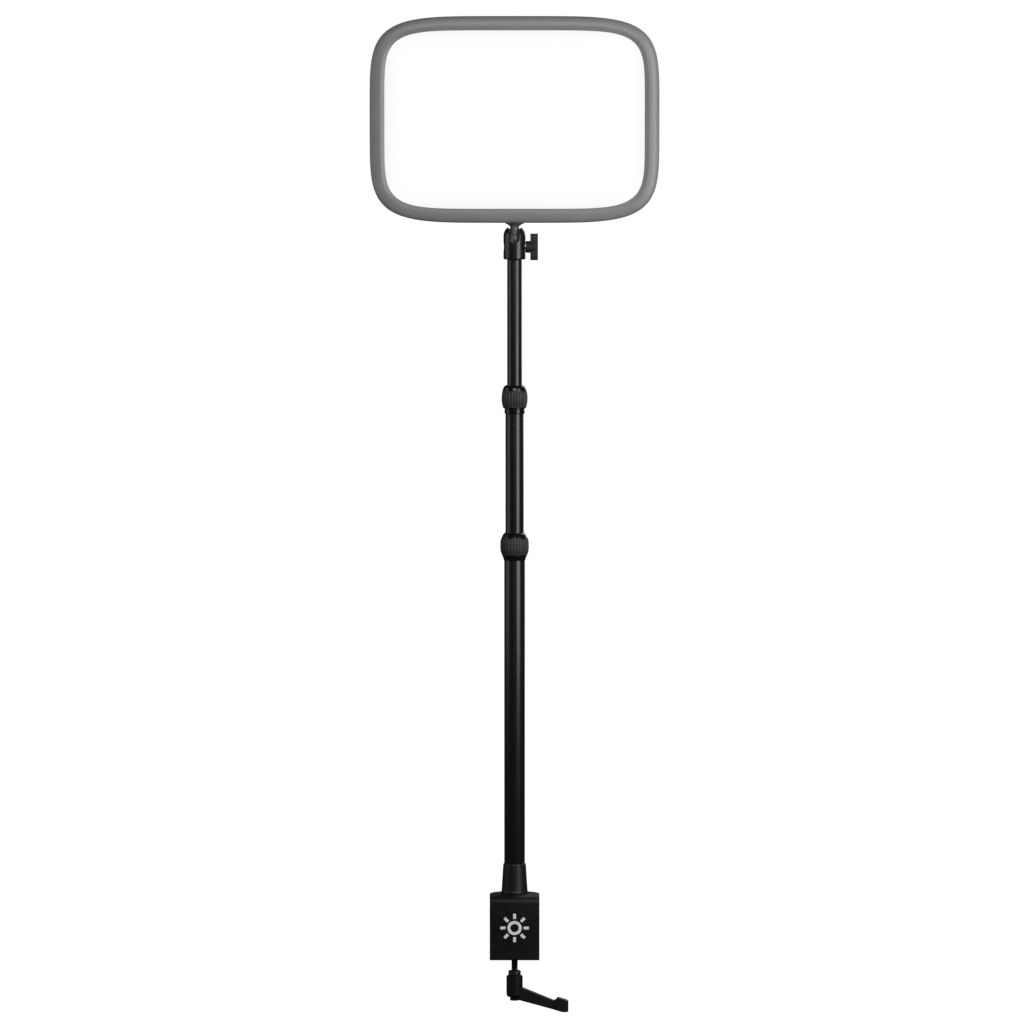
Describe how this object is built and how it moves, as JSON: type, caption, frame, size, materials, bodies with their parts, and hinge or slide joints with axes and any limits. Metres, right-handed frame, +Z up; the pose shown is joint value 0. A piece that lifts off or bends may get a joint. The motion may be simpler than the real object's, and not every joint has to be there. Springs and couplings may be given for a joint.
{
  "type": "led panel light",
  "caption": "Edge-lit light panel on a ball head, carried by a telescoping tube mast with twist locks that stands on a C-shaped desk clamp with a screw and lever.",
  "frame": {"origin": "centre of the upper jaw pad's contact face, on the mast's axis", "axes": "+Z up along the mast, the lit face looks towards -Y, the clamp's mouth opens towards +Y, and the head's knob is on +X"},
  "size_m": [0.348, 0.0603, 1.2035],
  "materials": {
    "powder_black": "satin",
    "anodised_black": "satin",
    "raw_aluminium": "satin",
    "zinc_steel": "satin",
    "dark_steel": "satin",
    "brass": "satin",
    "black_rubber": "matte",
    "black_plastic": "satin",
    "white_plastic": "satin",
    "shell_grey": "satin",
    "white_print": "satin",
    "lit_diffuser": "satin",
    "clear_acrylic": "gloss",
    "emitter_yellow": "satin",
    "board_green": "satin"
  },
  "bodies": {
    "clamp": {"clamp_frame": "powder_black", "jaw_pad": "black_rubber", "clamp_nut": "zinc_steel", "badge_mark": "white_print", "mast_socket": "powder_black", "mast_bolt": "zinc_steel", "mast_plug": "raw_aluminium", "lower_tube": "anodised_black", "lower_ferrule": "black_plastic", "lower_collet": "white_plastic"},
    "press_pad": {"press_pad": "powder_black", "press_pad_rubber": "black_rubber"},
    "clamp_screw": {"clamp_spindle": "dark_steel", "pad_circlip": "zinc_steel", "lever_insert": "dark_steel", "lever_screw": "zinc_steel", "lever_spring": "zinc_steel"},
    "clamp_lever": {"clamp_lever": "powder_black"},
    "lower_collar": {"lower_collar_nut": "black_plastic", "lower_collar_grip": "black_rubber"},
    "middle_mast": {"middle_tube": "anodised_black", "middle_guide": "white_plastic", "upper_ferrule": "black_plastic", "upper_collet": "white_plastic"},
    "upper_collar": {"upper_collar_nut": "black_plastic", "upper_collar_grip": "black_rubber"},
    "upper_mast": {"upper_tube": "anodised_black", "upper_guide": "white_plastic", "mast_top_stud": "raw_aluminium"},
    "head": {"head_housing": "anodised_black", "pan_washer": "black_plastic", "cross_nut": "dark_steel"},
    "ball_cup": {"ball_seat": "white_plastic"},
    "side_knob": {"wing_knob": "black_plastic", "knob_spindle": "zinc_steel", "knob_washer": "zinc_steel"},
    "panel": {"ball_stem": "anodised_black", "stem_pad": "black_rubber", "stem_stud": "zinc_steel", "mount_block": "raw_aluminium", "front_frame": "shell_grey", "diffuser": "lit_diffuser", "diffuser_gasket": "black_rubber", "light_guide": "clear_acrylic", "reflector_sheet": "white_plastic", "led_strips": "white_plastic", "led_chips": "emitter_yellow", "heat_spreader": "raw_aluminium", "spreader_screws": "zinc_steel", "rear_cover": "shell_grey", "driver_board": "board_green", "board_components": "black_plastic", "board_standoffs": "brass", "rear_screws": "dark_steel", "dc_jack": "black_plastic", "dc_pin": "zinc_steel", "switch_frame": "black_plastic"},
    "rocker": {"power_rocker": "black_plastic"},
    "button": {"pair_button": "black_plastic"}
  },
  "joints": [
    {"name": "press_slide", "type": "slide", "parent": "clamp", "child": "press_pad", "axis": [0, 0, 1], "range_m": [-0.0401, 0.0101]},
    {"name": "screw_turn", "type": "hinge", "parent": "press_pad", "child": "clamp_screw", "pos_m": [0, 0, -0.05], "axis": [0, 0, 1], "range_deg": [-11520, 2880]},
    {"name": "lever_lift", "type": "slide", "parent": "clamp_screw", "child": "clamp_lever", "axis": [0, 0, -1], "range_m": [0, 0.0045], "stiffness_N_per_m": 800, "springref_m": -0.006, "deforming": ["lever_spring"]},
    {"name": "lower_lock", "type": "hinge", "parent": "clamp", "child": "lower_collar", "pos_m": [0, 0, 0.43], "axis": [0, 0, 1], "range_deg": [0, 150]},
    {"name": "middle_slide", "type": "slide", "parent": "clamp", "child": "middle_mast", "axis": [0, 0, 1], "range_m": [-0.14, 0.185]},
    {"name": "upper_lock", "type": "hinge", "parent": "middle_mast", "child": "upper_collar", "pos_m": [0, 0, 0.61], "axis": [0, 0, 1], "range_deg": [0, 150]},
    {"name": "upper_slide", "type": "slide", "parent": "middle_mast", "child": "upper_mast", "axis": [0, 0, 1], "range_m": [-0.148, 0.185]},
    {"name": "head_pan", "type": "hinge", "parent": "upper_mast", "child": "head", "pos_m": [0, 0, 0.78], "axis": [0, 0, 1], "continuous": true},
    {"name": "ball_roll", "type": "hinge", "parent": "head", "child": "ball_cup", "pos_m": [0, 0, 0.8012], "axis": [0, 1, 0], "range_deg": [-6, 6]},
    {"name": "ball_tilt", "type": "hinge", "parent": "ball_cup", "child": "panel", "pos_m": [0, 0, 0.8012], "axis": [1, 0, 0], "range_deg": [-10, 90]},
    {"name": "knob_turn", "type": "hinge", "parent": "head", "child": "side_knob", "pos_m": [0.02, 0, 0.791], "axis": [1, 0, 0], "range_deg": [-90, 180]},
    {"name": "power_rock", "type": "hinge", "parent": "panel", "child": "rocker", "pos_m": [0, 0.014, 0.8641], "axis": [0, 0, 1], "range_deg": [0, 16]},
    {"name": "button_press", "type": "slide", "parent": "panel", "child": "button", "axis": [0, -1, 0], "range_m": [0, 0.0008], "stiffness_N_per_m": 600, "springref_m": -0.0008}
  ],
  "couplings": [
    {"joint": "press_slide", "follows": "screw_turn", "m_per_rad": 0.00019894}
  ]
}
